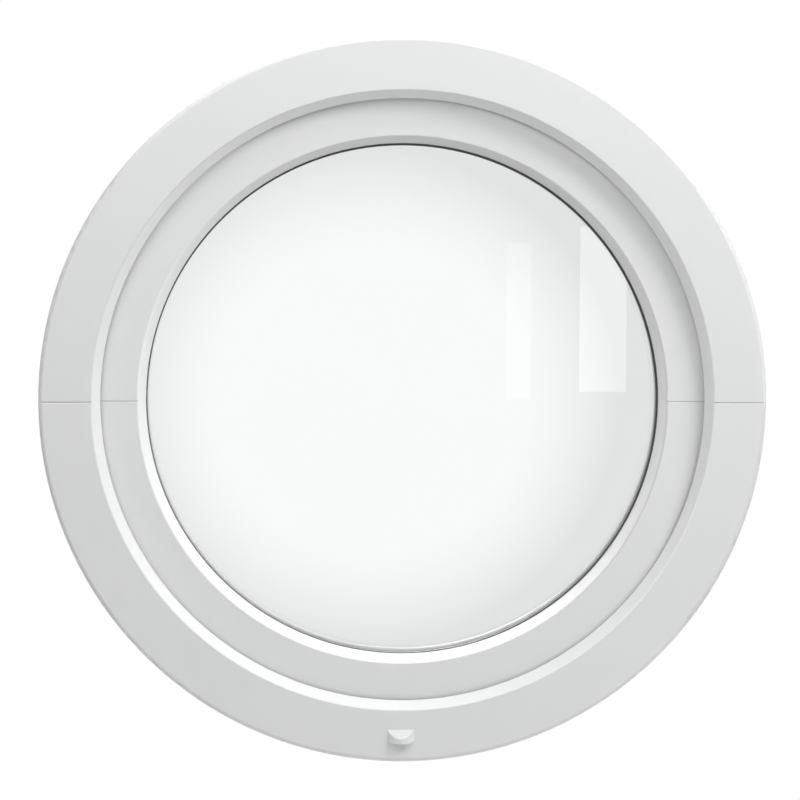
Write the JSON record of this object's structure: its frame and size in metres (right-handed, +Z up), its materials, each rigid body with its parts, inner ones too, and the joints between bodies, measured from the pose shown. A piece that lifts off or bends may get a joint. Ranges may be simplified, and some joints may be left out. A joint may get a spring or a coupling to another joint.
{
  "type": "porthole window",
  "caption": "Round white plastic window: a double-glazed sash that tilts inward in a welded ring frame, with a rosette handle, geared lock and side stays.",
  "frame": {"origin": "centre of the wall rim, half-way through the frame's 70 mm depth", "axes": "+Y is the window's axis, pointing into the room; +Z is up; +X is to the right seen from outside"},
  "size_m": [0.8, 0.1437, 0.8],
  "materials": {
    "white_profile": "smooth satin-gloss white uPVC",
    "white_moulding": "moulded white plastic",
    "white_enamel": "smooth white powder coat",
    "dark_gasket": "matt grey gasket",
    "edge_sealant": "matt black sealant",
    "clear_glass": "clear float glass",
    "bright_spacer": "mill finish",
    "glazing_block": "moulded",
    "sintered_steel": "greased sintered steel",
    "bright_zinc": "bright zinc plated",
    "zinc_steel": "satin zinc plated"
  },
  "bodies": {
    "frame": {"drain_cap": "white_moulding", "frame_lower": "white_profile", "frame_seal": "dark_gasket", "frame_upper": "white_profile", "hinge_frame_leaf_left": "white_enamel", "hinge_frame_leaf_right": "white_enamel", "hinge_pin_left": "bright_zinc", "hinge_pin_right": "bright_zinc", "hinge_screws_frame": "bright_zinc", "keep_left": "zinc_steel", "keep_right": "zinc_steel", "keep_screws": "bright_zinc", "stay_bracket_left": "zinc_steel", "stay_bracket_right": "zinc_steel", "stay_bracket_screws": "bright_zinc"},
    "sash": {"bead_lower": "white_profile", "bead_upper": "white_profile", "edge_sealant": "edge_sealant", "faceplate": "zinc_steel", "faceplate_screws": "bright_zinc", "gearbox_case": "zinc_steel", "glazing_blocks": "glazing_block", "handle_rosette": "white_enamel", "handle_screws": "bright_zinc", "hinge_sash_leaf_left": "white_enamel", "hinge_sash_leaf_right": "white_enamel", "hinge_screws_sash": "bright_zinc", "inner_glazing_seal": "dark_gasket", "inner_pane": "clear_glass", "outer_glazing_seal": "dark_gasket", "outer_pane": "clear_glass", "rosette_cap": "white_enamel", "sash_lower": "white_profile", "sash_seal": "dark_gasket", "sash_upper": "white_profile", "spacer_bar": "bright_spacer", "stay_rail_left": "zinc_steel", "stay_rail_right": "zinc_steel", "stay_rail_screws": "bright_zinc"},
    "handle": {"handle_lever": "white_enamel", "handle_spindle": "zinc_steel", "gear_hub": "sintered_steel"},
    "rod": {"drive_rod": "zinc_steel", "lock_cam_left": "zinc_steel", "lock_cam_right": "zinc_steel"},
    "stay_left": {"stay_arm_left": "zinc_steel", "stay_pin_left": "bright_zinc"},
    "stay_right": {"stay_arm_right": "zinc_steel", "stay_pin_right": "bright_zinc"}
  },
  "joints": [
    {"name": "sash_tilt", "type": "hinge", "parent": "frame", "child": "sash", "pos_m": [0, 0.058, -0.372], "axis": [-1, 0, 0], "range_deg": [0, 10]},
    {"name": "handle_turn", "type": "hinge", "parent": "sash", "child": "handle", "pos_m": [0, 0.025, 0.3255], "axis": [0, 1, 0], "range_deg": [0, 180]},
    {"name": "rod_slide", "type": "hinge", "parent": "sash", "child": "rod", "pos_m": [0, 0.025, 0], "axis": [0, 1, 0], "range_deg": [0, 4.85]},
    {"name": "stay_swing_left", "type": "hinge", "parent": "frame", "child": "stay_left", "pos_m": [-0.347, 0.01, -0.045], "axis": [-1, 0, 0], "range_deg": [0, 48.53]},
    {"name": "stay_swing_right", "type": "hinge", "parent": "frame", "child": "stay_right", "pos_m": [0.347, 0.01, -0.045], "axis": [-1, 0, 0], "range_deg": [0, 48.53]}
  ],
  "couplings": [
    {"joint": "rod_slide", "follows": "handle_turn", "ratio": 0.026906},
    {"joint": "stay_swing_left", "follows": "sash_tilt", "ratio": 4.852},
    {"joint": "stay_swing_right", "follows": "sash_tilt", "ratio": 4.852}
  ]
}
